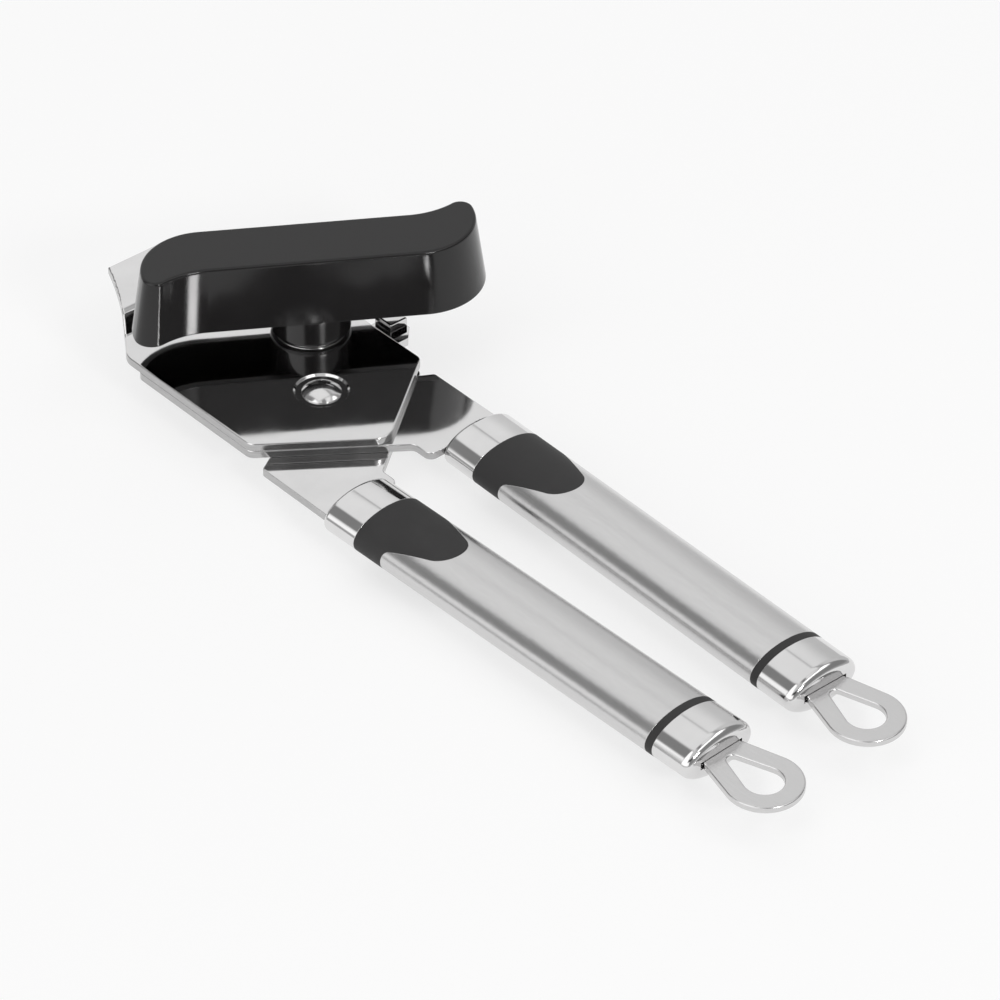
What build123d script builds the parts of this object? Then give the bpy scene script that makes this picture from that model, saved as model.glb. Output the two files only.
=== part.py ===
from build123d import *

import os
from math import acos, asin, atan2, cos, degrees, hypot, pi, radians, sin, sqrt, tan

# Manual can opener: two tube handles, a polished head and an S-shaped turning knob.
# Millimetres. The pieces are worked out about the lever pivot, with z = 0 on the top
# face of the cover plate, the nose towards +Y, the handles towards -Y and the knob
# standing up along +Z. The last step moves them all so that the origin is the bottom
# centre of the whole opener's box.

# Fits between pieces
seat = 0.03  # gap round a piece that is fixed in its seat
running = 0.06  # radial gap of a turning piece on its bearing
layer_gap = 0.1  # gap above and below the lever that moves
wheel_gap = 0.2  # gap between wheels that pass over each other
stop_gap = 0.3  # gap left at the opening stop
overrun = 2.0  # how far a cut runs past the face it opens

# Head plates
sheet = 1.6  # thickness of the three plates
sheet_edge = 0.35  # rounding of the plates' upper edges
bend_radius = 1.2  # inside radius of the bends under the nose
head_half = 21.6  # half the head's width
head_side_front = 33.5  # where the straight sides end at the front
head_side_back = -4.4  # where the straight sides end at the back
head_tip = -20.3  # point of the V at the back
head_tip_round = 4.0
head_corner_round = 2.0
head_shoulder_round = 5.0  # where the straight sides meet the nose's sides
nose_front = 55.8
nose_half = 8.5
nose_rise = 3.3  # the nose stands above the plate by this much
nose_hollow = 0.8  # how far the nose's sides curve in
riser_start = 38.6  # front to back place of the step up to the nose
riser_run = 3.4

# Levers and the opening stop
lever_setback = 3.0  # front edge of both levers behind the end of the straight sides
lever_corner_round = 2.0
lever_edge = 0.25  # rounding of the levers' upper edges
tang_overhang = 0.1  # outer edge of a tang beyond the head's side
left_tang_inner = 4.8  # inner edge of each tang from the midline
right_tang_inner = 3.8
tang_corner_round = 1.6
shoulder_drop = 4.0  # outer corner of a tang's shoulder behind the head's side
open_angle = 30.0  # how far the right handle swings out
neck_margin = 0.9  # room beside the part of the tang inside the handle
neck_past_pins = 8.0
wing_room = 2.3  # room beside the other lever's post
land_room = 3.0  # room between the levers' round middle and the posts
spacer_room = 0.7  # room between the stop and the shaft's bearing
spacer_overhang = 6.4  # how far the stop stands out beside the cover plate
spacer_chamfer = 2.6
block_gap = 2.2  # room between the stop's block and the cover plate
block_rise = 0.3  # the stop's block stands above the cover plate by this much
block_setback = 3.4
block_edge = 0.3

# Pivot rivet
pivot_radius = 3.0
pivot_recess_lap = 2.5  # the recess in the cover plate is wider than the rivet by this much
pivot_recess_depth = 0.4
pivot_dome_lap = 0.9
pivot_dome_side = 0.2  # upright side below the dome
pivot_dome_rise = 1.3
pivot_head_lap = 2.0
pivot_head_thick = 0.9

# Drive shaft, its bearing, gears and wheels
shaft_x = 11.8
shaft_y = 17.4
shaft_radius = 2.7
shaft_flats = 4.2  # across the square that drives the gear and the wheel
shaft_end_lap = 0.5
shaft_end_thick = 0.6
shaft_depth_in_knob = 9.0
bush_wall = 1.2
bush_collar_lap = 0.7
gear_teeth = 16
gear_module = 1.0
gear_pressure_angle = 20.0
gear_backlash = 0.16
gear_root_clearance = 0.25
gear_tip_trim = 0.1
gear_thick = 1.6
flank_steps = 4
feed_radius = 7.6
feed_tooth_depth = 0.75
feed_teeth = 30
feed_thick = 1.8
feed_hub_wall = 1.9

# Cutter and its axle
cutter_radius = 9.0
cutter_thick = 1.0
cutter_bevel = 2.2
cutter_edge = 0.12
cutter_hub_wall = 1.4
cutter_shoulder = 1.2
stud_radius = 3.0
stud_collar_lap = 1.0
stud_rivet_radius = 2.6
washer_lap = 0.4
washer_thick = 0.4
screw_head_radius = 4.0
screw_head_thick = 1.2
screw_radius = 1.4
screw_slot = 0.8
screw_length = 3.4

# Turning knob
knob_underside = 6.3  # above the cover plate
knob_height = 14.0
knob_half_thick = 6.8
knob_draft = 1.0  # the underside is larger than the top by this much all round
knob_end_draft = 1.1  # and each of its ends reaches further by this much again
knob_curl = 3.3  # the tips rise above the bar's edge by this much
knob_bend_start = 20.9
knob_tip_radius = 2.5
knob_tip_angle = 11.0
knob_hollow_radius = 16.0
knob_turn = -32.5  # the knob's direction at rest
knob_edge = 0.6
knob_wall = 1.4
knob_pocket_depth = 10.5  # on both sides of the hub
hub_radius = 8.0
hub_edge = 0.9  # rounding of the hub's lower edge
hub_ring_thick = 0.35
hub_ring_lift = 0.15

# Handles
left_handle_reach = 8.3  # front of each handle behind the point of the V
right_handle_reach = 7.5
handle_inset = 6.25  # axis of a handle from the tang's outer edge, at its front
handle_toe_in = 1.3  # the handles lean towards each other by this angle
handle_lift = 0.2  # axis of the handles above the face between the levers
handle_half_width = 8.5
handle_half_thick = 4.6
ferrule_length = 8.8
ferrule_round = 0.9
ferrule_face = 1.4
sleeve_wall = 1.6  # wall of the ferrule and of the grip
grip_band = 7.4
grip_tongue = 19.9  # from the ferrule to the tip of the grip's tongue
tongue_inset = 0.9
tongue_tip_radius = 4.8
tongue_root_round = 1.2
tube_length = 70.0
tube_wall = 0.8
ring_width = 1.8
cap_length = 8.9
cap_round = 1.9
end_round_share = 0.8  # largest rounding of an oval end, as a share of the oval's tightest curve
cap_slot_room = 0.12  # room round the loop's root in the end cap
spigot_length = 7.0
core_past_neck = 11.0
tang_gap = 0.2
pin_radius = 1.4
pin_from_ferrule = 5.2
pin_spacing = 11.0
pin_recess = 0.3

# Hang loops
loop_thick = 1.4
loop_edge = 0.35
loop_reach = 10.4  # from the end cap to the middle of the round end
loop_radius = 7.4
loop_root_radius = 5.0
loop_root_reach = 1.8
loop_hole_radius = 3.7
loop_hole_tip_radius = 1.3
loop_hole_tip_reach = 3.0
loop_tail_width = 8.0
loop_pin_radius = 1.2

# Heights, worked out from the plates down
cover_bottom = -sheet
right_lever_top = cover_bottom - layer_gap
right_lever_bottom = right_lever_top - sheet
left_lever_top = right_lever_bottom - layer_gap
left_lever_bottom = left_lever_top - sheet
gear_top = left_lever_bottom - wheel_gap
gear_bottom = gear_top - gear_thick
cutter_top = gear_bottom - wheel_gap
cutter_bottom = cutter_top - cutter_thick
feed_top = cutter_bottom - wheel_gap
feed_bottom = feed_top - feed_thick
hub_bottom = hub_ring_lift + hub_ring_thick
knob_top = knob_underside + knob_height
handle_axis = (right_lever_bottom + left_lever_top) / 2 + handle_lift

# Radii, worked out from the shafts they go round
pivot_recess_radius = pivot_radius + pivot_recess_lap
pivot_dome_radius = pivot_radius + pivot_dome_lap
pivot_head_radius = pivot_radius + pivot_head_lap
shaft_end_radius = shaft_radius + shaft_end_lap
bush_radius = shaft_radius + running + bush_wall
bush_collar_radius = bush_radius + bush_collar_lap
feed_hub_radius = shaft_radius + feed_hub_wall
stud_collar_radius = stud_radius + stud_collar_lap
cutter_hub_radius = stud_radius + cutter_hub_wall
washer_radius = cutter_hub_radius + washer_lap

# Places in plan, worked out from the drive shaft and the head's outline
shaft_reach = hypot(shaft_x, shaft_y)
gear_pitch_radius = gear_module * gear_teeth / 2
mesh_turn = 2 * asin(gear_pitch_radius / shaft_reach)
cutter_direction = atan2(shaft_y, shaft_x) + mesh_turn
cutter_x = shaft_reach * cos(cutter_direction)
cutter_y = shaft_reach * sin(cutter_direction)
mesh_direction = degrees(atan2(cutter_y - shaft_y, cutter_x - shaft_x))
pivot_land = shaft_reach - bush_collar_radius - land_room
lever_front = head_side_front - lever_setback
tang_outer = head_half + tang_overhang
shoulder_back = head_side_back - shoulder_drop
open_sin = sin(radians(open_angle))
open_cos = cos(radians(open_angle))
shoulder_line = tang_outer * open_sin + shoulder_back * open_cos
spacer_back = shoulder_line + stop_gap
spacer_front = shaft_y - bush_collar_radius - spacer_room
handle_offset = tang_outer - handle_inset

# The two sides, as signs of x, and what differs between them
left = -1
right = 1
lever_bottom = {left: left_lever_bottom, right: right_lever_bottom}
tang_inner = {left: left_tang_inner, right: right_tang_inner}
handle_front = {left: head_tip - left_handle_reach, right: head_tip - right_handle_reach}

# Places along a handle, from its front
band_end = ferrule_length + grip_band
tongue_end = ferrule_length + grip_tongue
tube_end = band_end + tube_length
cap_start = tube_end + ring_width
cap_end = cap_start + cap_length
spigot_start = cap_start - spigot_length
loop_middle = cap_end + loop_reach
loop_root = cap_end + loop_root_reach
loop_pin_place = cap_start - spigot_length / 2
pin_places = (ferrule_length + pin_from_ferrule, ferrule_length + pin_from_ferrule + pin_spacing)
neck_end = pin_places[-1] + neck_past_pins
core_end = max(neck_end, tongue_end) + core_past_neck
oval_end_radius = handle_half_thick ** 2 / handle_half_width  # tightest curve of the handles' oval


def polar(radius, angle):
    """Point at a radius and an angle in radians."""
    return (radius * cos(angle), radius * sin(angle))


def round_corners(face, radius, corners):
    """Round the face's corners that lie nearest to the given points."""
    chosen = []
    for corner in corners:
        target = Vector(*corner)
        chosen.append(min(face.vertices(), key=lambda v: (Vector(v) - target).length))
    return face.fillet_2d(radius, chosen)


def disc(x, y, radius, bottom, top):
    """Upright cylinder between two heights."""
    return Pos(x, y, bottom) * extrude(Circle(radius), top - bottom)


def tapered_slot(y1, r1, y2, r2):
    """Face wrapped round two circles on the Y axis, the first one behind the second."""
    lean = asin((r1 - r2) / (y2 - y1))
    right1 = (r1 * cos(lean), y1 + r1 * sin(lean))
    right2 = (r2 * cos(lean), y2 + r2 * sin(lean))
    left1 = (-right1[0], right1[1])
    left2 = (-right2[0], right2[1])
    outline = [
        Line(right1, right2),
        ThreePointArc(right2, (0, y2 + r2), left2),
        Line(left2, left1),
        ThreePointArc(left1, (0, y1 - r1), right1),
    ]
    return make_face(outline)


# Cover plate


def cover_outline():
    """Plan of the cover plate: a V at the back, straight sides and a narrow nose."""
    nose = Vector(nose_half, nose_front)
    front = Vector(head_half, head_side_front)
    run = front - nose
    inward = Vector(run.Y, -run.X).normalized()
    hollow = (nose + front) * 0.5 + inward * nose_hollow
    half = [nose, hollow, front, Vector(head_half, head_side_back)]
    other = [Vector(-p.X, p.Y) for p in half]
    tip = Vector(0, head_tip)
    outline = [
        Line(other[0], half[0]),
        ThreePointArc(*half[:3]),
        Line(half[2], half[3]),
        Line(half[3], tip),
        Line(tip, other[3]),
        Line(other[3], other[2]),
        ThreePointArc(other[2], other[1], other[0]),
    ]
    face = make_face(outline).face()
    face = round_corners(face, head_tip_round, [tip])
    face = round_corners(face, head_shoulder_round, [half[2], other[2]])
    return round_corners(face, head_corner_round, [half[3], other[3]])


def cover_section():
    """Side view of the cover plate, stepped up under the nose."""
    slope = atan2(nose_rise, riser_run)
    shift = sheet * tan(slope / 2)
    back = head_tip - overrun
    front = nose_front + overrun
    step_low = (riser_start, 0)
    step_high = (riser_start + riser_run, nose_rise)
    under_low = (riser_start + shift, -sheet)
    under_high = (riser_start + riser_run + shift, nose_rise - sheet)
    upper = [(back, 0), step_low, step_high, (front, nose_rise)]
    lower = [(front, nose_rise - sheet), under_high, under_low, (back, -sheet)]
    face = make_face(Polyline(*upper, *lower, close=True)).face()
    face = round_corners(face, bend_radius, [step_low, under_high])
    return round_corners(face, bend_radius + sheet, [step_high, under_low])


def upper_rim(plate):
    """Edges round the upper side of a bent plate, which belong to just one of its upward faces."""
    edges = [edge for face in plate.faces() if face.normal_at().Z > 0 for edge in face.edges()]
    return [edge for edge in edges if sum(edge.is_same(other) for other in edges) == 1]


def pivot_recess():
    """Countersunk seat for the rivet's dome."""
    floor_radius = pivot_recess_radius - pivot_recess_depth
    height = pivot_recess_depth + overrun
    cone = Cone(floor_radius, floor_radius + height, height, align=(Align.CENTER, Align.CENTER, Align.MIN))
    return Pos(0, 0, -pivot_recess_depth) * cone


def make_top_plate():
    section = extrude(Plane.YZ * cover_section(), head_half + overrun, both=True)
    bottom = cover_bottom - overrun
    plan = Pos(0, 0, bottom) * extrude(cover_outline(), nose_rise + overrun - bottom)
    plate = fillet(upper_rim(section & plan), sheet_edge)
    plate -= pivot_recess()
    plate -= disc(0, 0, pivot_radius + seat, bottom, overrun)
    plate -= disc(shaft_x, shaft_y, bush_radius + seat, bottom, overrun)
    return plate


# Levers


def neck_width(side):
    """Width of the tang inside the handle, where the sleeves' oval leaves it room."""
    far_face = abs(neck_level(side)) + sheet / 2
    half_height = handle_half_thick - sleeve_wall
    half_width = (handle_half_width - sleeve_wall) * sqrt(1 - (far_face / half_height) ** 2)
    return 2 * (half_width - neck_margin)


def neck_level(side):
    """Height of a tang's middle above its handle's axis."""
    return lever_bottom[side] + sheet / 2 - handle_axis


def lever_plate(side, wing_edge):
    """Lever plate with its tang on one side, its wing on the other and its neck in the handle."""
    slope = (head_tip - head_side_back) / head_half
    inner = tang_inner[side]
    heel = (inner, head_tip + slope * inner)
    tang_end = handle_front[side] + tang_gap
    foot = (shoulder_line * open_sin, shoulder_line * open_cos)
    front_corner = (-head_half, lever_front)
    back_corner = (-head_half, head_side_back)
    inner_corner = (inner, tang_end)
    outer_corner = (tang_outer, tang_end)
    shoulder = (tang_outer, shoulder_back)
    wing_corner = (wing_edge * side, lever_front)
    corners = [
        front_corner, back_corner, heel, inner_corner, outer_corner, shoulder, foot, wing_corner,
    ]
    face = make_face(Polyline(*corners, close=True)).face()
    face = round_corners(face, lever_corner_round, [front_corner, back_corner, wing_corner])
    face = round_corners(face, tang_corner_round, [heel, inner_corner])
    face = round_corners(face, tang_corner_round / 2, [outer_corner, shoulder])
    plate = extrude(face, sheet) + extrude(Circle(pivot_land), sheet)
    plate = fillet(plate.faces().sort_by(Axis.Z)[-1].edges(), lever_edge)
    if side == left:
        plate = mirror(plate, about=Plane.YZ)
    plate = Pos(0, 0, lever_bottom[side]) * plate
    root = tang_gap + tang_corner_round
    neck = Box(neck_width(side), root + neck_end, sheet)
    plate += on_handle(side, Pos(0, (root - neck_end) / 2, neck_level(side)) * neck)
    for place in pin_places:
        plate -= on_handle(side, upright_pin(place, pin_radius + seat, handle_half_thick))
    return plate


def make_left_lever():
    wing_edge = cutter_x + stud_collar_radius + wing_room
    plate = lever_plate(left, wing_edge)
    plate -= disc(0, 0, pivot_radius + seat, left_lever_bottom - overrun, 0)
    plate -= disc(shaft_x, shaft_y, bush_radius + seat, left_lever_bottom - overrun, 0)
    return plate


def make_right_lever():
    wing_edge = shaft_x - bush_collar_radius - wing_room
    plate = lever_plate(right, wing_edge)
    plate -= disc(0, 0, pivot_radius + running, right_lever_bottom - overrun, 0)
    plate -= disc(cutter_x, cutter_y, stud_rivet_radius + seat, right_lever_bottom - overrun, 0)
    return plate


def make_stop_spacer():
    """Plate between the cover and the left lever; the right lever's shoulder stops on it."""
    inner = pivot_land + stop_gap
    outer = head_half + spacer_overhang
    back_edge = [(inner, spacer_back), (outer - spacer_chamfer, spacer_back)]
    outer_edge = [(outer, spacer_back + spacer_chamfer), (outer, spacer_front), (inner, spacer_front)]
    face = make_face(Polyline(*back_edge, *outer_edge, close=True))
    plate = Pos(0, 0, left_lever_top) * extrude(face, cover_bottom - left_lever_top)
    block_width = spacer_overhang - block_gap
    block_depth = spacer_front - spacer_back - block_setback
    block_height = block_rise - left_lever_top
    block = Box(block_width, block_depth, block_height, align=(Align.MAX, Align.MAX, Align.MIN))
    block = Pos(outer, spacer_front, left_lever_top) * block
    block = fillet(block.faces().sort_by(Axis.Z)[-1].edges(), block_edge)
    return plate + block


def make_pivot_rivet():
    """Rivet with a dome in the cover plate's recess, and a plain head below."""
    seat_height = -pivot_recess_depth
    dome_bottom = seat_height + pivot_dome_side
    dome_top = dome_bottom + pivot_dome_rise
    ball = (pivot_dome_radius ** 2 + pivot_dome_rise ** 2) / (2 * pivot_dome_rise)
    half_way = asin(pivot_dome_radius / ball) / 2
    dome_middle = (ball * sin(half_way), dome_top - ball * (1 - cos(half_way)))
    head_bottom = left_lever_bottom - pivot_head_thick
    sides = Polyline(
        (0, dome_top),
        (0, head_bottom),
        (pivot_head_radius - pivot_head_thick, head_bottom),
        (pivot_head_radius, left_lever_bottom),
        (pivot_radius, left_lever_bottom),
        (pivot_radius, seat_height),
        (pivot_dome_radius, seat_height),
        (pivot_dome_radius, dome_bottom),
    )
    dome = ThreePointArc((pivot_dome_radius, dome_bottom), dome_middle, (0, dome_top))
    return revolve(Plane.XZ * make_face([*sides.edges(), dome]), Axis.Z)


# Drive shaft and what turns on it


def make_shaft_bush():
    barrel = disc(0, 0, bush_radius, left_lever_bottom, 0)
    collar = disc(0, 0, bush_collar_radius, left_lever_top, cover_bottom)
    bore = disc(0, 0, shaft_radius + running, left_lever_bottom - overrun, overrun)
    return Pos(shaft_x, shaft_y, 0) * (barrel + collar - bore)


def shaft_square(grow, bottom, top):
    """Square drive with the shaft's round left on its corners."""
    across = shaft_flats + 2 * grow
    square = Pos(0, 0, bottom) * extrude(Rectangle(across, across), top - bottom)
    return square & disc(0, 0, shaft_radius + grow, bottom, top)


def make_drive_shaft():
    top = knob_underside + shaft_depth_in_knob
    journal = disc(0, 0, shaft_radius, gear_top, hub_bottom)
    drive = shaft_square(0, feed_bottom, gear_top)
    stem = shaft_square(0, hub_bottom, top)
    end = disc(0, 0, shaft_end_radius, feed_bottom - shaft_end_thick, feed_bottom)
    end = chamfer(end.faces().sort_by(Axis.Z)[0].edges(), shaft_end_thick / 2)
    return Pos(shaft_x, shaft_y, 0) * Rot(0, 0, knob_turn) * (journal + drive + stem + end)


def involute_point(base_radius, radius, start):
    """Point of a tooth's flank at a radius, for a flank that leaves the base circle at an angle."""
    roll = sqrt(max((radius / base_radius) ** 2 - 1, 0))
    return polar(radius, start + roll - atan2(roll, 1))


def gear_face():
    """Spur gear outline with one tooth centred on +X."""
    pressure = radians(gear_pressure_angle)
    base = gear_pitch_radius * cos(pressure)
    tip = gear_pitch_radius + gear_module - gear_tip_trim
    root = gear_pitch_radius - gear_module - gear_root_clearance
    half_tooth = pi / (2 * gear_teeth) - gear_backlash / (2 * gear_pitch_radius)
    start = -half_tooth - (tan(pressure) - pressure)
    pitch = 2 * pi / gear_teeth
    points = []
    for tooth in range(gear_teeth):
        middle = tooth * pitch
        radii = [base + (tip - base) * step / flank_steps for step in range(flank_steps + 1)]
        rising = [involute_point(base, radius, start) for radius in radii]
        flank = [polar(root, start)] + rising
        falling = [(x, -y) for x, y in reversed(flank)]
        for x, y in flank + falling:
            points.append((x * cos(middle) - y * sin(middle), x * sin(middle) + y * cos(middle)))
    return make_face(Polyline(*points, close=True))


def make_drive_gear():
    gear = Pos(0, 0, gear_bottom) * extrude(gear_face(), gear_thick)
    square_turn = knob_turn - mesh_direction
    gear -= Rot(0, 0, square_turn) * shaft_square(seat, gear_bottom - overrun, gear_top + overrun)
    return Pos(shaft_x, shaft_y, 0) * Rot(0, 0, mesh_direction) * gear


def make_feed_wheel():
    """Serrated wheel with a hub that reaches up to the drive gear."""
    points = []
    for tooth in range(feed_teeth):
        angle = 2 * pi * tooth / feed_teeth
        points.append(polar(feed_radius, angle))
        points.append(polar(feed_radius - feed_tooth_depth, angle + pi / feed_teeth))
    wheel = Pos(0, 0, feed_bottom) * extrude(make_face(Polyline(*points, close=True)), feed_thick)
    wheel += disc(0, 0, feed_hub_radius, feed_top, gear_bottom)
    wheel -= shaft_square(seat, feed_bottom - overrun, gear_top)
    return Pos(shaft_x, shaft_y, 0) * Rot(0, 0, knob_turn) * wheel


# Cutter


def make_cutter_gear():
    """Gear with a hub that carries the cutter wheel."""
    gear = Pos(0, 0, gear_bottom) * Rot(0, 0, 180 / gear_teeth) * extrude(gear_face(), gear_thick)
    gear += disc(0, 0, cutter_hub_radius + cutter_shoulder, cutter_top, gear_bottom)
    gear += disc(0, 0, cutter_hub_radius, cutter_bottom, gear_bottom)
    gear -= disc(0, 0, stud_radius + running, cutter_bottom - overrun, gear_top + overrun)
    return Pos(cutter_x, cutter_y, 0) * Rot(0, 0, mesh_direction + 180) * gear


def make_cutter_wheel():
    """Disc ground to an edge from both faces."""
    bore = cutter_hub_radius + seat
    shoulder = cutter_radius - cutter_bevel
    middle = (cutter_top + cutter_bottom) / 2
    lower = [(bore, cutter_bottom), (shoulder, cutter_bottom), (cutter_radius, middle - cutter_edge)]
    upper = [(cutter_radius, middle + cutter_edge), (shoulder, cutter_top), (bore, cutter_top)]
    section = make_face(Polyline(*lower, *upper, close=True))
    return Pos(cutter_x, cutter_y, 0) * revolve(Plane.XZ * section, Axis.Z)


def make_cutter_stud():
    """Axle riveted into the right lever, threaded for the screw below."""
    journal_end = cutter_bottom - running
    stud = disc(0, 0, stud_rivet_radius, right_lever_bottom, right_lever_top)
    stud += disc(0, 0, stud_collar_radius, gear_top + running, right_lever_bottom)
    stud += disc(0, 0, stud_radius, journal_end, gear_top + running)
    stud -= disc(0, 0, screw_radius + seat, journal_end - overrun, journal_end + screw_length)
    return Pos(cutter_x, cutter_y, 0) * stud


def make_cutter_washer():
    top = cutter_bottom - running
    washer = disc(0, 0, washer_radius, top - washer_thick, top)
    washer -= disc(0, 0, screw_radius + seat, top - washer_thick - overrun, top + overrun)
    return Pos(cutter_x, cutter_y, 0) * washer


def make_cutter_screw():
    seat_height = cutter_bottom - running - washer_thick
    head_bottom = seat_height - screw_head_thick
    head = disc(0, 0, screw_head_radius, head_bottom, seat_height)
    head = fillet(head.faces().sort_by(Axis.Z)[0].edges(), screw_head_thick / 2)
    slot_deep = screw_head_thick / 2
    slot = Pos(0, 0, head_bottom + slot_deep / 2) * Box(2 * screw_head_radius, screw_slot, slot_deep)
    shank_top = seat_height + washer_thick + screw_length - seat
    shank = disc(0, 0, screw_radius, seat_height, shank_top)
    return Pos(cutter_x, cutter_y, 0) * (head - slot + shank)


# Turning knob


def circle_point(x, y, radius, angle):
    return Vector(x + radius * cos(angle), y + radius * sin(angle))


def knob_outline(grow, lengthen=0):
    """S-shaped plan of the knob, the same turned half round, with margins all round and at its ends."""
    tip_angle = radians(knob_tip_angle)
    rise = 2 * knob_half_thick + knob_curl - knob_tip_radius * (1 - sin(tip_angle))
    bend_radius = rise / (1 + sin(tip_angle))
    bend_x = knob_bend_start + lengthen
    bend_y = bend_radius - knob_half_thick
    tip_x = bend_x + (bend_radius - knob_tip_radius) * cos(tip_angle)
    tip_y = bend_y + (bend_radius - knob_tip_radius) * sin(tip_angle)
    hollow_y = knob_half_thick + knob_hollow_radius
    apart = knob_hollow_radius + knob_tip_radius
    hollow_x = tip_x - sqrt(apart ** 2 - (hollow_y - tip_y) ** 2)
    join = atan2(hollow_y - tip_y, hollow_x - tip_x)

    half = knob_half_thick + grow
    bend = (bend_x, bend_y, bend_radius + grow)
    tip = (tip_x, tip_y, knob_tip_radius + grow)
    hollow = (hollow_x, hollow_y, knob_hollow_radius - grow)
    bend_from = Vector(bend_x, -half)
    bend_to = circle_point(*bend, tip_angle)
    tip_to = circle_point(*tip, join)
    hollow_to = Vector(hollow_x, half)
    arcs = [
        (bend_from, circle_point(*bend, (tip_angle - pi / 2) / 2), bend_to),
        (bend_to, circle_point(*tip, (tip_angle + join) / 2), tip_to),
        (tip_to, circle_point(*hollow, (join - pi - pi / 2) / 2), hollow_to),
    ]
    outline = [Line(-hollow_to, bend_from)]
    outline += [ThreePointArc(*arc) for arc in arcs]
    outline += [Line(hollow_to, -bend_from)]
    outline += [ThreePointArc(*[-point for point in arc]) for arc in arcs]
    return make_face(outline).face()


def knob_section(height, inset=0):
    """Section of the drafted knob at a height above its underside, drawn in by a wall's thickness."""
    share = 1 - height / knob_height
    section = knob_outline(share * knob_draft - inset, share * knob_end_draft)
    return Pos(0, 0, knob_underside + height) * section


def make_turn_knob():
    knob = loft([knob_section(0), knob_section(knob_height)], ruled=True)
    knob = fillet(knob.faces().sort_by(Axis.Z)[-1].edges(), knob_edge)
    pocket = loft([knob_section(0, knob_wall), knob_section(knob_pocket_depth, knob_wall)], ruled=True)
    pocket -= disc(0, 0, hub_radius, knob_underside - overrun, knob_top)
    knob -= pocket
    hub = disc(0, 0, hub_radius, hub_bottom, knob_underside)
    knob += fillet(hub.edges().group_by(Axis.Z)[0], hub_edge)
    knob -= shaft_square(seat, hub_bottom - overrun, knob_underside + shaft_depth_in_knob + seat)
    return Pos(shaft_x, shaft_y, 0) * Rot(0, 0, knob_turn) * knob


def make_hub_ring():
    ring = disc(0, 0, hub_radius - hub_edge, hub_ring_lift, hub_bottom)
    ring = fillet(ring.edges(), hub_ring_thick / 4)
    ring -= disc(0, 0, shaft_radius + seat, hub_ring_lift - overrun, hub_bottom + overrun)
    return Pos(shaft_x, shaft_y, 0) * ring


# Handles, worked out along -Y from the front of the ferrule


def on_handle(side, shape):
    """Put a piece from a handle's own frame onto the left or the right handle."""
    front = (side * handle_offset, handle_front[side], handle_axis)
    return Location(front, (0, 0, -side * handle_toe_in)) * shape


def oval_bar(inset, start, end):
    """Length of the handles' oval, smaller all round by an inset."""
    oval = Ellipse(handle_half_width - inset, handle_half_thick - inset)
    return extrude(Plane.XZ.offset(start) * oval, end - start)


def upright_pin(place, radius, half_length):
    return Pos(0, -place, 0) * disc(0, 0, radius, -half_length, half_length)


def neck_slot(side, end):
    """Room for a tang's neck in the ferrule or the core."""
    box = Box(neck_width(side) + 2 * seat, end + overrun, sheet + 2 * seat)
    return Pos(0, (overrun - end) / 2, neck_level(side)) * box


def grip_plan(grow):
    """Plan of the grip: a band with a rounded tongue that points to the handle's end."""
    width = handle_half_width - tongue_inset + grow
    corner = band_end + grow
    tip = tongue_tip_radius + grow
    middle = tongue_end - tongue_tip_radius
    reach = hypot(width, middle - corner)
    lean = atan2(middle - corner, width) - acos(tip / reach)
    touch = (tip * cos(lean), -middle + tip * sin(lean))
    outline = [
        Line((-width, -ferrule_length), (width, -ferrule_length)),
        Line((width, -ferrule_length), (width, -corner)),
        Line((width, -corner), touch),
        ThreePointArc(touch, (0, -middle - tip), (-touch[0], touch[1])),
        Line((-touch[0], touch[1]), (-width, -corner)),
        Line((-width, -corner), (-width, -ferrule_length)),
    ]
    across = 2 * (handle_half_width + overrun)
    band = Pos(0, -(ferrule_length + corner) / 2) * Rectangle(across, corner - ferrule_length)
    plan = (make_face(outline) + band).face()
    return round_corners(plan, tongue_root_round - grow, [(width, -corner), (-width, -corner)])


def grip_prism(grow):
    return extrude(grip_plan(grow), handle_half_thick + overrun, both=True)


def end_round(radius):
    """Rounding of an oval end, kept inside the oval's tightest curve."""
    return min(radius, end_round_share * oval_end_radius)


def make_ferrule(side):
    ferrule = oval_bar(0, 0, ferrule_length - seat)
    ferrule = fillet(ferrule.faces().sort_by(Axis.Y)[-1].edges(), end_round(ferrule_round))
    ferrule -= oval_bar(sleeve_wall, ferrule_face, ferrule_length + overrun)
    return ferrule - neck_slot(side, ferrule_face + overrun)


def make_grip():
    sleeve = oval_bar(0, ferrule_length, tongue_end)
    sleeve -= oval_bar(sleeve_wall, ferrule_length - overrun, tongue_end + overrun)
    return sleeve & grip_prism(0)


def make_tube():
    tube = oval_bar(0, ferrule_length, tube_end)
    tube -= oval_bar(tube_wall, ferrule_length - overrun, tube_end + overrun)
    return tube - grip_prism(seat)


def make_ring():
    ring = oval_bar(0, tube_end + seat, cap_start - seat)
    return ring - oval_bar(tube_wall, tube_end - overrun, cap_start + overrun)


def make_end_cap():
    cap = oval_bar(0, cap_start, cap_end)
    cap = fillet(cap.faces().sort_by(Axis.Y)[0].edges(), end_round(cap_round))
    cap += oval_bar(tube_wall + seat, spigot_start, cap_start)
    mouth_depth = loop_root_radius - loop_root_reach + cap_slot_room
    mouth_width = 2 * (loop_root_radius + cap_slot_room)
    cap -= Pos(0, -cap_end, 0) * Box(mouth_width, 2 * mouth_depth, loop_thick + 2 * cap_slot_room)
    tail_room = Box(loop_tail_width + 2 * seat, cap_end - spigot_start + overrun, loop_thick + 2 * seat)
    cap -= Pos(0, (overrun - cap_end - spigot_start) / 2, 0) * tail_room
    return cap - upright_pin(loop_pin_place, loop_pin_radius + seat, handle_half_thick)


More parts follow.
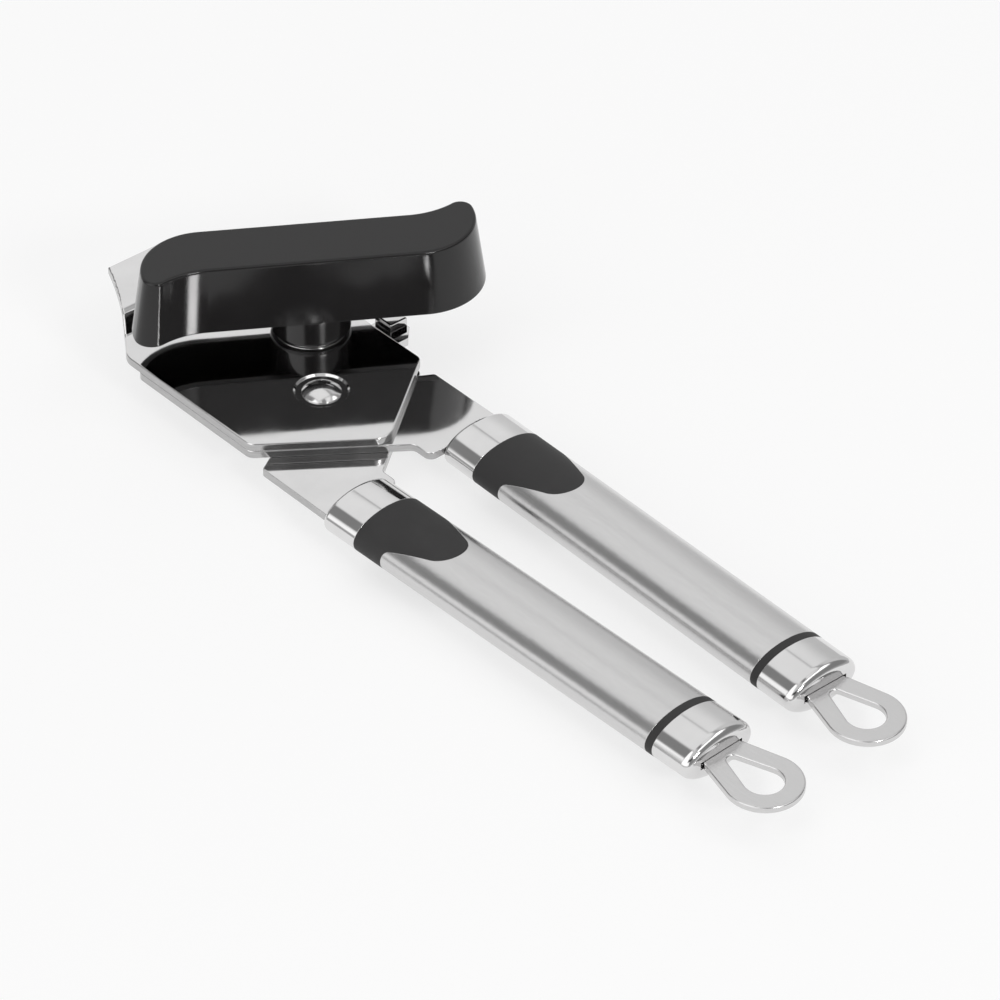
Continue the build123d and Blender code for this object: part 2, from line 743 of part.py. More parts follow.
def make_hang_loop():
    """Flat loop whose tail is pinned inside the end cap."""
    face = tapered_slot(-loop_middle, loop_radius, -loop_root, loop_root_radius)
    face -= tapered_slot(
        -loop_middle, loop_hole_radius, -(cap_end + loop_hole_tip_reach), loop_hole_tip_radius
    )
    loop = Pos(0, 0, -loop_thick / 2) * extrude(face, loop_thick)
    faces = loop.faces().sort_by(Axis.Z)
    loop = fillet(faces[0].edges() + faces[-1].edges(), loop_edge)
    tail = Box(loop_tail_width, cap_end - spigot_start, loop_thick)
    loop += Pos(0, -(cap_end + spigot_start) / 2, 0) * tail
    return loop - upright_pin(loop_pin_place, loop_pin_radius + seat, handle_half_thick)


def make_core(side):
    """Filler that the tang is pinned into."""
    core = oval_bar(sleeve_wall + seat, ferrule_face + seat, tongue_end + seat)
    core += oval_bar(tube_wall + seat, tongue_end + seat, core_end)
    core -= neck_slot(side, neck_end + seat)
    for place in pin_places:
        core -= upright_pin(place, pin_radius + seat, handle_half_thick)
    return core


def make_tang_pins():
    half_length = handle_half_thick - sleeve_wall - pin_recess
    pins = [upright_pin(place, pin_radius, half_length) for place in pin_places]
    return pins[0] + pins[1:]


def make_loop_pin():
    return upright_pin(loop_pin_place, loop_pin_radius, handle_half_thick - tube_wall - pin_recess)


def make_handle(name, side):
    """Pieces of one handle, by node name."""
    pieces = {
        "ferrule": make_ferrule(side),
        "grip": make_grip(),
        "tube": make_tube(),
        "ring": make_ring(),
        "end_cap": make_end_cap(),
        "hang_loop": make_hang_loop(),
        "core": make_core(side),
        "tang_pins": make_tang_pins(),
        "loop_pin": make_loop_pin(),
    }
    return {f"{name}_{piece}": on_handle(side, shape) for piece, shape in pieces.items()}


def make_pieces():
    """Every piece of the opener, by node name."""
    pieces = {
        "top_plate": make_top_plate(),
        "left_lever": make_left_lever(),
        "right_lever": make_right_lever(),
        "stop_spacer": make_stop_spacer(),
        "pivot_rivet": make_pivot_rivet(),
        "shaft_bush": make_shaft_bush(),
        "drive_shaft": make_drive_shaft(),
        "drive_gear": make_drive_gear(),
        "feed_wheel": make_feed_wheel(),
        "turn_knob": make_turn_knob(),
        "hub_ring": make_hub_ring(),
        "cutter_stud": make_cutter_stud(),
        "cutter_gear": make_cutter_gear(),
        "cutter_wheel": make_cutter_wheel(),
        "cutter_washer": make_cutter_washer(),
        "cutter_screw": make_cutter_screw(),
    }
    pieces.update(make_handle("left", left))
    pieces.update(make_handle("right", right))
    return pieces


def main():
    pieces = make_pieces()
    box = Compound(children=[Compound(shape.wrapped) for shape in pieces.values()]).bounding_box()
    middle = box.center()
    shift = Vector(-middle.X, -middle.Y, -box.min.Z)
    os.makedirs("parts", exist_ok=True)
    for name, shape in pieces.items():
        export_step(Pos(shift) * shape, f"parts/{name}.step")
    print("size", box.size)
    print("pivot axis at", shift)
    print("shaft axis at", shift + Vector(shaft_x, shaft_y, 0))
    print("cutter axis at", shift + Vector(cutter_x, cutter_y, 0))


main()
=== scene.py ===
"""Manual can opener: the finish of every piece, and the floor, light and camera around it.

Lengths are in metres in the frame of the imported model, unless a name ends in mm.
"""

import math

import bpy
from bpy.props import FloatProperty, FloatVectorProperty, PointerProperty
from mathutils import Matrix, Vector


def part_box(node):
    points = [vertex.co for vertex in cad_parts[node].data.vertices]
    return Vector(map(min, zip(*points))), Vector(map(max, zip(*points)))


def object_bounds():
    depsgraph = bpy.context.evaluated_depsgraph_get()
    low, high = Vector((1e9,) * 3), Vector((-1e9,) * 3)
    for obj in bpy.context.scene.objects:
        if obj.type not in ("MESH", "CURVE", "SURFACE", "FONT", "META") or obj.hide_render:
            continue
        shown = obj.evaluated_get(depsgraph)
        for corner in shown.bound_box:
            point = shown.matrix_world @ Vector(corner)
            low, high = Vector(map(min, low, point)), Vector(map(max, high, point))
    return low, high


bl_info = {
    "name": "Can opener",
    "version": (1, 0, 0),
    "blender": (4, 5, 0),
    "location": "3D View > Sidebar > Can opener",
    "description": "Finishes the pieces of a can opener and sets up its studio",
    "category": "Object",
}

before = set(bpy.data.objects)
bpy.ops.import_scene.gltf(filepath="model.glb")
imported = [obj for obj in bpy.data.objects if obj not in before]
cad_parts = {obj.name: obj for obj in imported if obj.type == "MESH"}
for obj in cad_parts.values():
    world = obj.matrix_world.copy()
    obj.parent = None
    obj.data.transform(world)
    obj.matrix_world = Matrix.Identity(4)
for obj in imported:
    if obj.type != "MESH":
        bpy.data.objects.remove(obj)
CAD_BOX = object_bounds()

MM = 0.001
TO_MM = (1.0 / MM, 1.0 / MM, 1.0 / MM)
TO_DEGREES = 180.0 / math.pi
WHITE = (1.0, 1.0, 1.0, 1.0)
SIDES = ("left", "right")
SEEN_RAYS = ("Is Camera Ray", "Is Glossy Ray", "Is Transmission Ray")
EDGE_SAMPLES = 6
SENSOR_MM = 36.0
PLASTIC_IOR = 1.46

# How much rougher the rivet, the caps and the cut sides of the plates are than the mirror polish
RIVET_BLUR = 0.06
CAP_BLUR = 0.04
CUT_SIDE_BLUR = 0.12

# The handles lean towards each other at the head, so brushed lines follow each handle's own lean
LEAN = math.radians(1.3)
HANDLE_LEAN = {"left": LEAN, "right": -LEAN}

# Upright panels of the studio: where each begins and ends and how soft its edges are, in degrees,
# for its heading and then for its rise above the horizon. Headings go from +Y towards +X.
LEFT_PANEL = ((-58.0, -48.0, 3.0), (12.0, 33.0, 4.0))
SIDE_PANEL = ((-140.0, -62.0, 5.0), (6.0, 80.0, 5.0))

# The same for the panels at the front, whose headings go from -Y towards -X
FRONT_PANEL = ((-74.0, 8.0, 5.0), (43.0, 56.0, 4.0))
FILL_PANEL = ((14.0, 60.0, 5.0), (43.0, 72.0, 3.0))
DARK_SCREEN = ((26.0, 58.0, 5.0), (26.0, 41.0, 3.0))

# The top panel and the frame round it lie flat overhead: the same along X and then along Y, at a height of
# one. They fade in as the upright share of a direction grows.
TOP_FRAME = ((-0.33, 0.57, 0.02), (-0.17, 0.90, 0.02))
TOP_PANEL = ((-0.28, 0.52, 0.04), (-0.12, 0.85, 0.04))
TOP_FADE = (0.15, 0.3)

# The backdrop fades out as it rises, and is dimmer at its foot and on its right: from, to, and the two levels
BACKDROP_TURN = (-6.0, 95.0, 5.0)
BACKDROP_FADE = (62.0, 48.0)
BACKDROP_FOOT = (18.0, 36.0, 0.9, 1.0)
BACKDROP_RIGHT = (45.0, 60.0, 1.0, 0.76)

# The ceiling fades in towards the right and as it rises, and the low glow fades out as it rises
CEILING_RIGHT_FADE = (0.02, 0.12)
CEILING_FADE = (56.0, 66.0)
GLOW_FADE = (14.0, 4.0)


class Wire:
    """A node's output that takes part in Python expressions, on numbers or on vectors."""

    def __init__(self, shader, socket):
        self.shader = shader
        self.socket = socket

    def combine(self, operation, first, second):
        kind = "ShaderNodeMath" if self.socket.type == "VALUE" else "ShaderNodeVectorMath"
        return self.shader.make(kind, {"operation": operation}, {0: first, 1: second})

    def __add__(self, other):
        return self.combine("ADD", self, other)

    def __radd__(self, other):
        return self.combine("ADD", other, self)

    def __sub__(self, other):
        return self.combine("SUBTRACT", self, other)

    def __rsub__(self, other):
        return self.combine("SUBTRACT", other, self)

    def __mul__(self, other):
        return self.combine("MULTIPLY", self, other)

    def __rmul__(self, other):
        return self.combine("MULTIPLY", other, self)

    def __truediv__(self, other):
        return self.combine("DIVIDE", self, other)

    def __rtruediv__(self, other):
        return self.combine("DIVIDE", other, self)


class Shader:
    """A node tree being filled: one method makes every node."""

    def __init__(self, tree):
        self.tree = tree
        tree.nodes.clear()

    def make(self, kind, settings=None, sockets=None, result=0):
        """Add a node, set it up, then fill or link its sockets; returns its output as a Wire."""
        node = self.tree.nodes.new(kind)
        for name, value in (settings or {}).items():
            setattr(node, name, value)
        for name, value in (sockets or {}).items():
            socket = self.pick(node.inputs, name)
            if isinstance(value, Wire):
                self.tree.links.new(value.socket, socket)
            else:
                socket.default_value = value
        if not node.outputs:
            return None
        return Wire(self, self.pick(node.outputs, result))

    @staticmethod
    def pick(sockets, name):
        """The socket of that name, or in that place, among those that the node shows."""
        shown = [socket for socket in sockets if not socket.is_unavailable]
        if isinstance(name, int):
            return shown[name]
        return next(socket for socket in shown if socket.name == name)

    def place_mm(self, lean=0.0):
        """Where a point lies on its own piece, in millimetres, turned by lean about the upright axis."""
        place = self.make("ShaderNodeTexCoord", result="Object") * TO_MM
        if lean == 0.0:
            return place
        sockets = {"Vector": place, "Angle": lean}
        return self.make("ShaderNodeVectorRotate", {"rotation_type": "Z_AXIS"}, sockets)

    def upright(self):
        """The share of a surface's normal that points up."""
        normal = self.make("ShaderNodeNewGeometry", result="Normal")
        return self.make("ShaderNodeSeparateXYZ", None, {"Vector": normal}, "Z")

    def noise(self, vector, scale=1.0, detail=2.0, rough=0.5):
        sockets = {"Vector": vector, "Scale": scale, "Detail": detail, "Roughness": rough}
        return self.make("ShaderNodeTexNoise", None, sockets, "Fac")

    def between(self, value, low, high, first=0.0, last=1.0):
        """Goes smoothly from first to last as value goes from low to high."""
        sockets = {"Value": value, "From Min": low, "From Max": high, "To Min": first, "To Max": last}
        return self.make("ShaderNodeMapRange", {"interpolation_type": "SMOOTHSTEP"}, sockets)

    def window(self, value, low, high, soft):
        """One from low to high, and smoothly down to nothing outside them."""
        return self.between(value, low - soft, low + soft) * self.between(value, high + soft, high - soft)

    def patch(self, across, along, ranges):
        """One inside a rectangle of two values, each with its low, high and soft, and nothing outside it."""
        return self.window(across, *ranges[0]) * self.window(along, *ranges[1])

    def sway(self, noise, amount):
        """A noise's swing about its middle, times amount."""
        return (noise - 0.5) * amount

    def shades(self, factor, colour, darkest, palest):
        """A colour times darkest where factor is nothing, and times palest where it is one."""
        first, last = [tuple(channel * level for channel in colour) for level in (darkest, palest)]
        sockets = {"Factor": factor, "A": (*first, 1.0), "B": (*last, 1.0)}
        return self.make("ShaderNodeMix", {"data_type": "RGBA"}, sockets)

    def relief(self, height, depth_mm, edge_mm):
        """The normal of a surface with eased edges and a height on it."""
        edges = self.make("ShaderNodeBevel", {"samples": EDGE_SAMPLES}, {"Radius": edge_mm * MM})
        sockets = {"Height": height, "Distance": depth_mm * MM, "Strength": 1.0, "Normal": edges}
        return self.make("ShaderNodeBump", None, sockets)

    def surface(self, **sockets):
        """The finish itself, whose sockets are named with _ for a space."""
        named = {name.replace("_", " "): value for name, value in sockets.items()}
        shader = self.make("ShaderNodeBsdfPrincipled", None, named)
        self.make("ShaderNodeOutputMaterial", None, {"Surface": shader})


def new_finish(name):
    material = bpy.data.materials.new(name)
    material.use_nodes = True
    return material, Shader(material.node_tree)


def polished_steel(name, look, blur=0.0, side_blur_and_painted_shade=0.0):
    """Mirror polish with faint haze, a few hairlines and a softened edge.

    All of it is blurred further by blur, and upright sides by side_blur_and_painted_shade, with the lines of
    a shear in them. Where that is set, the upright sides are also darkened in colour as painted shade of the
    shadowed floor they reflect, varied by the shear lines.
    """
    material, shader = new_finish(name)
    place = shader.place_mm()
    haze = shader.noise(place, scale=0.11, detail=4.0, rough=0.55)
    hairlines = shader.noise(place * (0.35, 5.5, 2.0), detail=3.0, rough=0.6)
    patches = shader.noise(place + (40.0, 7.0, 3.0), scale=0.07)
    haze_blur = shader.between(haze, 0.35, 0.8) * 0.045
    hairline_blur = shader.between(hairlines, 0.66, 0.74) * shader.between(patches, 0.45, 0.7) * 0.05
    rough = look.mirror_roughness + blur + haze_blur + hairline_blur
    tone = shader.between(haze, 0.2, 0.8, 0.8, 1.0)
    if side_blur_and_painted_shade > 0.0:
        upright = shader.upright()
        side = shader.between(upright * upright, 0.3, 0.05)
        shear = shader.noise(place * (0.3, 0.3, 7.0), rough=0.6)
        rough = rough + side * (shear * 0.6 + 0.7) * side_blur_and_painted_shade
        # Painted shade: the upright cut sides are darkened in colour for the shadowed floor that they
        # reflect, by an amount that varies with the shear lines
        tone = tone - side * (shear * 0.8 + 0.4)
    base = shader.shades(tone, look.mirror_colour, 0.6, 1.03)
    ripple = shader.noise(place, scale=0.22, detail=1.0)
    normal = shader.relief(ripple, 0.006, look.edge_mm)
    shader.surface(Base_Color=base, Metallic=1.0, Roughness=rough, Normal=normal)
    return material


def satin_steel(name, look, lean):
    """Steel brushed along its length: long fine lines in the colour, the gloss and the height."""
    material, shader = new_finish(name)
    place = shader.place_mm(lean)
    lines = shader.noise(place * (9.0, 0.3, 9.0), detail=3.0, rough=0.65)
    broad = shader.noise(place * (1.6, 0.03, 1.6))
    cloud = shader.noise(place, scale=0.06, detail=3.0)
    tone = shader.between(lines, 0.3, 0.7) * 0.85 + shader.between(broad, 0.3, 0.7) * 0.15
    base = shader.shades(tone, look.satin_colour, 0.97, 1.03)
    rough = look.satin_roughness + shader.sway(lines, 0.05) + shader.sway(cloud, 0.04)
    normal = shader.relief(lines, 0.002, look.edge_mm)
    shader.surface(Base_Color=base, Metallic=1.0, Roughness=rough, Normal=normal)
    return material


def plain_steel(name, look):
    """Machined steel of the small working parts, with turned marks and a touch of oil."""
    material, shader = new_finish(name)
    place = shader.place_mm()
    marks = shader.noise(place * (1.5, 1.5, 12.0), detail=3.0, rough=0.6)
    film = shader.noise(place, scale=0.3, detail=3.0, rough=0.55)
    oil = shader.between(film, 0.5, 0.8) * 0.08
    base = shader.shades(film, look.plain_colour, 0.82, 1.1)
    rough = look.plain_roughness + shader.sway(marks, 0.2) - oil
    normal = shader.relief(marks, 0.01, 0.6 * look.edge_mm)
    shader.surface(Base_Color=base, Metallic=1.0, Roughness=rough, Normal=normal)
    return material


def knob_plastic(name, look):
    """Black moulding: a satin spark-eroded top, sides that are nearly glossy and a dull underside."""
    material, shader = new_finish(name)
    place = shader.place_mm()
    upright = shader.upright()
    top = shader.between(upright, 0.55, 0.92)
    under = shader.between(upright, -0.6, -0.9)
    spark = shader.noise(place, scale=5.5, detail=3.0, rough=0.6)
    flow = shader.noise(place, scale=0.12, detail=3.0)
    base = shader.shades(flow, look.plastic_colour, 0.8, 1.25)
    side = look.plastic_side_roughness + shader.sway(flow, 0.06)
    dull = (top + under) * (look.plastic_top_roughness - look.plastic_side_roughness)
    rough = side + dull + shader.sway(spark, 0.05)
    normal = shader.relief(spark * top, 0.02, 2.2 * look.edge_mm)
    shader.surface(Base_Color=base, Roughness=rough, Normal=normal, IOR=PLASTIC_IOR)
    return material


def soft_rubber(name, look):
    """Black soft-touch rubber with a fine even grain."""
    material, shader = new_finish(name)
    place = shader.place_mm()
    grain = shader.noise(place, scale=7.0, rough=0.6)
    rub = shader.noise(place, scale=0.16, detail=3.0)
    worn = shader.between(rub, 0.5, 0.8) * 0.06
    base = shader.shades(rub, look.rubber_colour, 0.85, 1.2)
    rough = look.rubber_roughness + shader.sway(grain, 0.1) - worn
    normal = shader.relief(grain, 0.02, look.edge_mm)
    shader.surface(Base_Color=base, Roughness=rough, Normal=normal)
    return material


def studio_paper(name, studio):
    """Pale paper that keeps a soft shadow, whitened where a lens or a gloss sees it."""
    material, shader = new_finish(name)
    fibre = shader.noise(shader.place_mm(), scale=1.2, detail=3.0, rough=0.6)
    base = shader.shades(fibre, studio.floor_colour, 0.99, 1.0)
    paper = shader.make("ShaderNodeBsdfDiffuse", None, {"Color": base})
    white = shader.make("ShaderNodeEmission", None, {"Color": WHITE, "Strength": 1.0})
    camera, glossy, through = [shader.make("ShaderNodeLightPath", result=ray) for ray in SEEN_RAYS]
    sockets = {"Fac": (camera + glossy + through) * studio.floor_white, 1: paper, 2: white}
    mixed = shader.make("ShaderNodeMixShader", None, sockets)
    shader.make("ShaderNodeOutputMaterial", None, {"Surface": mixed})
    return material


def dress(material, *nodes):
    """Give CAD pieces a finish on the material slots that they have."""
    for name in nodes:
        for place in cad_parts[name].material_slots:
            place.material = material


def both(piece):
    return [f"{side}_{piece}" for side in SIDES]


class OpenerLook(bpy.types.PropertyGroup):
    """Colours and gloss of the opener's finishes."""

    mirror_colour: FloatVectorProperty(
        name="Mirror steel", description="Colour of the polished plates, ferrules and caps",
        subtype="COLOR", size=3, min=0.0, max=1.0, default=(0.74, 0.735, 0.735))
    mirror_roughness: FloatProperty(
        name="Mirror roughness", description="How blurred a reflection in the polished steel is",
        subtype="FACTOR", min=0.0, max=1.0, default=0.055)
    satin_colour: FloatVectorProperty(
        name="Satin steel", description="Colour of the brushed tubes and loops",
        subtype="COLOR", size=3, min=0.0, max=1.0, default=(0.66, 0.655, 0.655))
    satin_roughness: FloatProperty(
        name="Satin roughness", description="How blurred a reflection in the brushed steel is",
        subtype="FACTOR", min=0.0, max=1.0, default=0.24)
    plain_colour: FloatVectorProperty(
        name="Plain steel", description="Colour of the gears, shaft and pins",
        subtype="COLOR", size=3, min=0.0, max=1.0, default=(0.55, 0.545, 0.54))
    plain_roughness: FloatProperty(
        name="Plain roughness", description="How blurred a reflection in the machined steel is",
        subtype="FACTOR", min=0.0, max=1.0, default=0.32)
    plastic_colour: FloatVectorProperty(
        name="Knob plastic", description="Colour of the turning knob and the handle cores",
        subtype="COLOR", size=3, min=0.0, max=1.0, default=(0.0095, 0.0089, 0.0091))
    plastic_top_roughness: FloatProperty(
        name="Knob top roughness", description="Gloss of the knob's flat top",
        subtype="FACTOR", min=0.0, max=1.0, default=0.46)
    plastic_side_roughness: FloatProperty(
        name="Knob side roughness", description="Gloss of the knob's drafted sides",
        subtype="FACTOR", min=0.0, max=1.0, default=0.15)
    rubber_colour: FloatVectorProperty(
        name="Grip rubber", description="Colour of the grips and the thin rings",
        subtype="COLOR", size=3, min=0.0, max=1.0, default=(0.02, 0.0192, 0.0195))
    rubber_roughness: FloatProperty(
        name="Rubber roughness", description="Gloss of the grips and the thin rings",
        subtype="FACTOR", min=0.0, max=1.0, default=0.62)
    edge_mm: FloatProperty(
        name="Edge round in mm", description="How far the sheet steel's edges are eased",
        min=0.0, default=0.14)


class OpenerStudio(bpy.types.PropertyGroup):
    """Floor, light and camera."""

    floor_colour: FloatVectorProperty(
        name="Floor", description="Colour of the paper floor",
        subtype="COLOR", size=3, min=0.0, max=1.0, default=(0.96, 0.96, 0.96))
    floor_half: FloatProperty(
        name="Floor half width", description="Half the width of the square floor",
        unit="LENGTH", min=0.0, default=4.0)
    floor_white: FloatProperty(
        name="Floor white", description="How far the floor is whitened where a lens or a gloss sees it",
        subtype="FACTOR", min=0.0, max=1.0, default=0.68)
    light_top: FloatProperty(
        name="Top panel", description="Light from the wide panel overhead and behind",
        min=0.0, default=0.95)
    light_frame: FloatProperty(
        name="Top frame", description="Light from the narrow frame round the top panel",
        min=0.0, default=0.5)
    light_back: FloatProperty(
        name="Backdrop", description="Light from the pale backdrop behind and to the right",
        min=0.0, default=0.92)
    light_left: FloatProperty(
        name="Left panel", description="Light from the upright panel on the left",
        min=0.0, default=1.25)
    light_side: FloatProperty(
        name="Side panel", description="Light from the large panel on the camera's left",
        min=0.0, default=1.45)
    light_ceiling: FloatProperty(
        name="Ceiling", description="Light from the ceiling on the right",
        min=0.0, default=1.0)
    light_fill: FloatProperty(
        name="Fill panel", description="Light from the soft panel above the camera",
        min=0.0, default=0.7)
    light_front: FloatProperty(
        name="Front panel", description="Light from the large panel in front on the right",
        min=0.0, default=2.0)
    light_low: FloatProperty(
        name="Low glow", description="Light from round the horizon",
        min=0.0, default=0.45)
    light_dim: FloatProperty(
        name="Dim rest", description="Light from the rest of the room",
        min=0.0, default=0.26)
    light_lens: FloatProperty(
        name="Lens side", description="Light from the dark screen that the camera looks past",
        min=0.0, default=0.06)
    lamp_turn: FloatProperty(
        name="Softbox heading", description="Where the softbox stands, from +Y towards +X",
        subtype="ANGLE", default=math.radians(-173.0))
    lamp_rise: FloatProperty(
        name="Softbox rise", description="How high the softbox stands above the horizon",
        subtype="ANGLE", default=math.radians(29.0))
    lamp_distance: FloatProperty(
        name="Softbox distance", description="From the softbox to the head",
        unit="LENGTH", min=0.0, default=1.5)
    lamp_width: FloatProperty(
        name="Softbox width", description="Width of the softbox",
        unit="LENGTH", min=0.0, default=0.30)
    lamp_height: FloatProperty(
        name="Softbox height", description="Height of the softbox",
        unit="LENGTH", min=0.0, default=0.20)
    lamp_light: FloatProperty(
        name="Softbox light", description="How bright the softbox's face is",
        min=0.0, default=25.0)
    azimuth: FloatProperty(
        name="Camera azimuth", description="Heading of the view, from +Y towards +X",
        subtype="ANGLE", default=math.radians(42.155))
    elevation: FloatProperty(
        name="Camera elevation", description="How steeply the camera looks down",
        subtype="ANGLE", default=math.radians(37.691))
    roll: FloatProperty(
        name="Camera roll", description="Tilt of the camera about its view",
        subtype="ANGLE", default=math.radians(0.859))
    distance: FloatProperty(
        name="Camera distance", description="From the camera to the point it looks at",
        unit="LENGTH", min=0.0, default=0.8745)
    aim: FloatVectorProperty(
        name="Aim", description="The point that the camera looks at",
        subtype="XYZ", unit="LENGTH", size=3, default=(-0.00583, -0.00216, 0.008))
    lens_mm: FloatProperty(
        name="Lens in mm", description=f"Focal length on a {SENSOR_MM:g} mm wide sensor",
        min=1.0, default=167.4)


class OPENER_OT_head(bpy.types.Operator):
    """Mirror-polish the cover plate, both levers and the stop between them"""

    bl_idname = "opener.head"
    bl_label = "Head plates"

    def execute(self, context):
        look = context.scene.opener_look
        plate = polished_steel("mirror_plate", look, side_blur_and_painted_shade=CUT_SIDE_BLUR)
        dress(plate, "top_plate", "left_lever", "right_lever")
        dress(polished_steel("mirror_stop", look), "stop_spacer")
        return {"FINISHED"}


class OPENER_OT_rivet(bpy.types.Operator):
    """Polish the pivot rivet and the ring under the knob"""

    bl_idname = "opener.rivet"
    bl_label = "Rivet and hub ring"

    def execute(self, context):
        mirror = polished_steel("mirror_rivet", context.scene.opener_look, RIVET_BLUR)
        dress(mirror, "pivot_rivet", "hub_ring")
        return {"FINISHED"}


class OPENER_OT_works(bpy.types.Operator):
    """Machine the shaft, the gears, the feed wheel and the cutter"""

    bl_idname = "opener.works"
    bl_label = "Gears and cutter"

    def execute(self, context):
        drive = ("shaft_bush", "drive_shaft", "drive_gear", "feed_wheel")
        cutter = ("cutter_stud", "cutter_gear", "cutter_wheel", "cutter_washer", "cutter_screw")
        dress(plain_steel("machined_steel", context.scene.opener_look), *drive, *cutter)
        return {"FINISHED"}


class OPENER_OT_knob(bpy.types.Operator):
    """Mould the turning knob"""

    bl_idname = "opener.knob"
    bl_label = "Turning knob"

    def execute(self, context):
        dress(knob_plastic("knob_black", context.scene.opener_look), "turn_knob")
        return {"FINISHED"}


class OPENER_OT_ends(bpy.types.Operator):
    """Polish the ferrules and the end caps"""

    bl_idname = "opener.ends"
    bl_label = "Ferrules and end caps"

    def execute(self, context):
        look = context.scene.opener_look
        dress(polished_steel("mirror_ferrule", look), *both("ferrule"))
        dress(polished_steel("mirror_cap", look, CAP_BLUR), *both("end_cap"))
        return {"FINISHED"}


class OPENER_OT_tubes(bpy.types.Operator):
    """Brush the tubes and the hang loops along each handle"""

    bl_idname = "opener.tubes"
    bl_label = "Tubes and hang loops"

    def execute(self, context):
        for side in SIDES:
            brushed = satin_steel(f"satin_{side}", context.scene.opener_look, HANDLE_LEAN[side])
            dress(brushed, f"{side}_tube", f"{side}_hang_loop")
        return {"FINISHED"}


class OPENER_OT_grips(bpy.types.Operator):
    """Mould the soft grips and the thin rings"""

    bl_idname = "opener.grips"
    bl_label = "Grips and rings"

    def execute(self, context):
        dress(soft_rubber("grip_rubber", context.scene.opener_look), *both("grip"), *both("ring"))
        return {"FINISHED"}


class OPENER_OT_inner(bpy.types.Operator):
    """Finish the cores and pins inside the handles"""

    bl_idname = "opener.inner"
    bl_label = "Cores and pins"

    def execute(self, context):
        look = context.scene.opener_look
        dress(knob_plastic("core_black", look), *both("core"))
        dress(plain_steel("pin_steel", look), *both("tang_pins"), *both("loop_pin"))
        return {"FINISHED"}


def make_floor(studio):
    half = studio.floor_half
    low = CAD_BOX[0].z
    mesh = bpy.data.meshes.new("floor")
    corners = [(-half, -half, low), (half, -half, low), (half, half, low), (-half, half, low)]
    mesh.from_pydata(corners, [], [(0, 1, 2, 3)])
    floor = bpy.data.objects.new("floor", mesh)
    floor.data.materials.append(studio_paper("floor_paper", studio))
    bpy.context.scene.collection.objects.link(floor)


def make_sky(studio):
    """Studio round the opener, by direction: a dim room with pale panels in it."""
    world = bpy.data.worlds.new("studio")
    bpy.context.scene.world = world
    world.use_nodes = True
    shader = Shader(world.node_tree)
    heading = shader.make("ShaderNodeTexCoord", result="Generated")
    x, y, z = [shader.make("ShaderNodeSeparateXYZ", None, {"Vector": heading}, axis) for axis in "XYZ"]
    rise = shader.make("ShaderNodeMath", {"operation": "ARCSINE"}, {0: z}) * TO_DEGREES
    turn = shader.make("ShaderNodeMath", {"operation": "ARCTAN2"}, {0: x, 1: y}) * TO_DEGREES
    opposite = {0: x * -1.0, 1: y * -1.0}
    back_turn = shader.make("ShaderNodeMath", {"operation": "ARCTAN2"}, opposite) * TO_DEGREES
    across = x / z
    along = y / z

    overhead = shader.between(z, *TOP_FADE)
    low_glow = shader.between(rise, *GLOW_FADE)
    ceiling = shader.between(x, *CEILING_RIGHT_FADE) * shader.between(rise, *CEILING_FADE)
    backdrop = shader.window(turn, *BACKDROP_TURN) * shader.between(rise, *BACKDROP_FADE)
    shading = shader.between(rise, *BACKDROP_FOOT) * shader.between(turn, *BACKDROP_RIGHT)

    light = low_glow * (studio.light_low - studio.light_dim) + studio.light_dim
    panels = (
        (ceiling, studio.light_ceiling),
        (backdrop, shading * studio.light_back),
        (shader.patch(turn, rise, LEFT_PANEL), studio.light_left),
        (shader.patch(turn, rise, SIDE_PANEL), studio.light_side),
        (shader.patch(back_turn, rise, FRONT_PANEL), studio.light_front),
        (shader.patch(back_turn, rise, FILL_PANEL), studio.light_fill),
        (shader.patch(back_turn, rise, DARK_SCREEN), studio.light_lens),
        (shader.patch(across, along, TOP_FRAME) * overhead, studio.light_frame),
        (shader.patch(across, along, TOP_PANEL) * overhead, studio.light_top),
    )
    for mask, level in panels:
        light = light + mask * (level - light)
    background = shader.make("ShaderNodeBackground", None, {"Color": WHITE, "Strength": light})
    shader.make("ShaderNodeOutputWorld", None, {"Surface": background})


def direction(turn, rise):
    """Unit vector of a heading, from +Y towards +X, and a rise above the horizon."""
    return Vector((math.sin(turn) * math.cos(rise), math.cos(turn) * math.cos(rise), math.sin(rise)))


def make_lamp(studio):
    """Softbox that faces the head."""
    toward = direction(studio.lamp_turn, studio.lamp_rise)
    lamp = bpy.data.lights.new("front_softbox", "AREA")
    lamp.shape = "RECTANGLE"
    lamp.size = studio.lamp_width
    lamp.size_y = studio.lamp_height
    lamp.energy = math.pi * studio.lamp_width * studio.lamp_height * studio.lamp_light
    holder = bpy.data.objects.new("front_softbox", lamp)
    holder.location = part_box("hub_ring")[0] + studio.lamp_distance * toward
    holder.rotation_euler = (-toward).to_track_quat("-Z", "Y").to_euler()
    bpy.context.scene.collection.objects.link(holder)


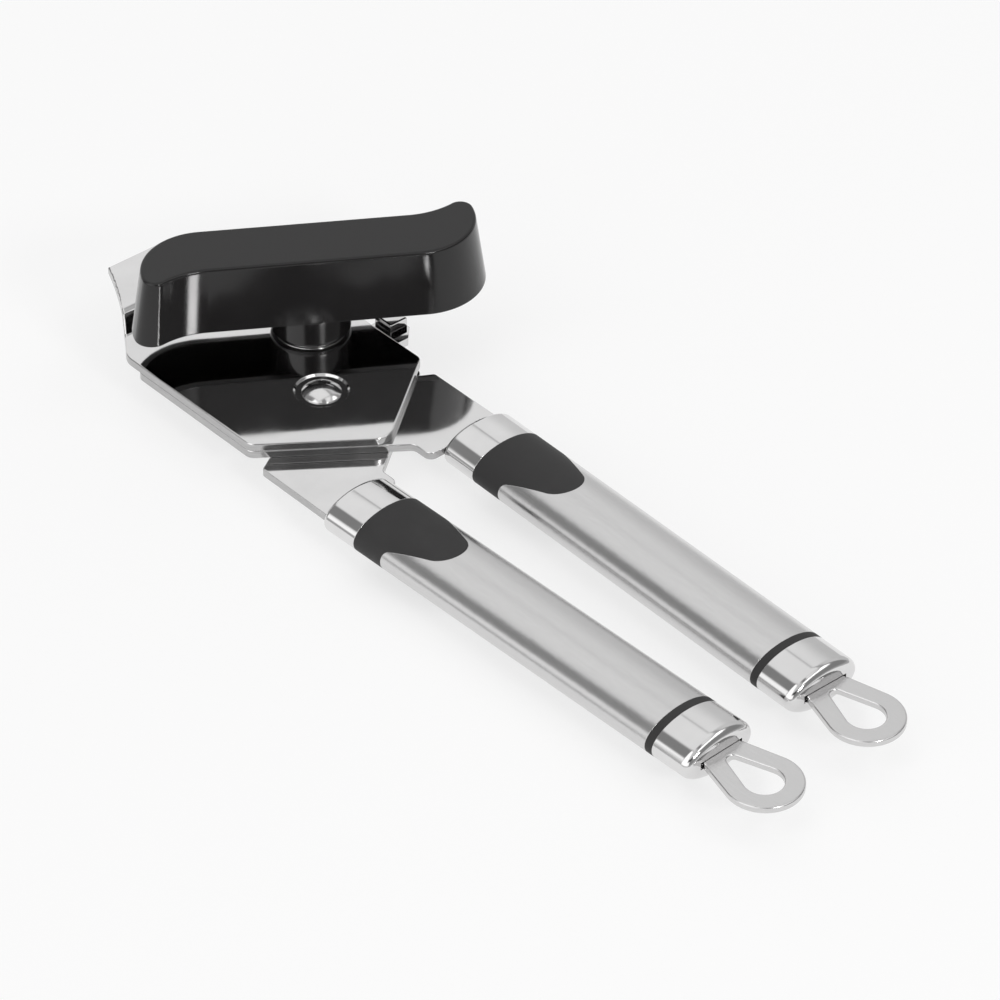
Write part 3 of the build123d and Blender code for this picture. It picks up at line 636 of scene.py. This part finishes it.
def make_camera(studio):
    view = direction(studio.azimuth, -studio.elevation)
    level = Vector((math.cos(studio.azimuth), -math.sin(studio.azimuth), 0.0))
    upward = level.cross(view)
    right = math.cos(studio.roll) * level + math.sin(studio.roll) * upward
    up = math.cos(studio.roll) * upward - math.sin(studio.roll) * level
    camera = bpy.data.objects.new("camera", bpy.data.cameras.new("camera"))
    camera.data.sensor_width = SENSOR_MM
    camera.data.lens = studio.lens_mm
    turn = Matrix((right, up, -view)).transposed()
    place = Vector(studio.aim) - studio.distance * view
    camera.matrix_world = Matrix.Translation(place) @ turn.to_4x4()
    bpy.context.scene.collection.objects.link(camera)
    bpy.context.scene.camera = camera


class OPENER_OT_stage(bpy.types.Operator):
    """Set the floor, the soft light and the camera"""

    bl_idname = "opener.stage"
    bl_label = "Floor, light and camera"

    def execute(self, context):
        studio = context.scene.opener_studio
        make_floor(studio)
        make_sky(studio)
        make_lamp(studio)
        make_camera(studio)
        context.scene.view_settings.view_transform = "Standard"
        return {"FINISHED"}


STEPS = (OPENER_OT_head, OPENER_OT_rivet, OPENER_OT_works, OPENER_OT_knob, OPENER_OT_ends, OPENER_OT_tubes,
         OPENER_OT_grips, OPENER_OT_inner, OPENER_OT_stage)


class OPENER_PT_panel(bpy.types.Panel):
    """Lists the opener's pieces and settings"""

    bl_idname = "OPENER_PT_panel"
    bl_label = "Can opener"
    bl_space_type = "VIEW_3D"
    bl_region_type = "UI"
    bl_category = "Can opener"

    def draw(self, context):
        for step in STEPS:
            self.layout.operator(step.bl_idname)
        for group in (context.scene.opener_look, context.scene.opener_studio):
            for name in group.__annotations__:
                self.layout.prop(group, name)


CLASSES = (OpenerLook, OpenerStudio, *STEPS, OPENER_PT_panel)


def register():
    for cls in CLASSES:
        bpy.utils.register_class(cls)
    bpy.types.Scene.opener_look = PointerProperty(type=OpenerLook)
    bpy.types.Scene.opener_studio = PointerProperty(type=OpenerStudio)


def unregister():
    del bpy.types.Scene.opener_studio
    del bpy.types.Scene.opener_look
    for cls in reversed(CLASSES):
        bpy.utils.unregister_class(cls)


def main():
    register()
    for step in STEPS:
        group, name = step.bl_idname.split(".")
        getattr(getattr(bpy.ops, group), name)()


if __name__ == "__main__":
    main()
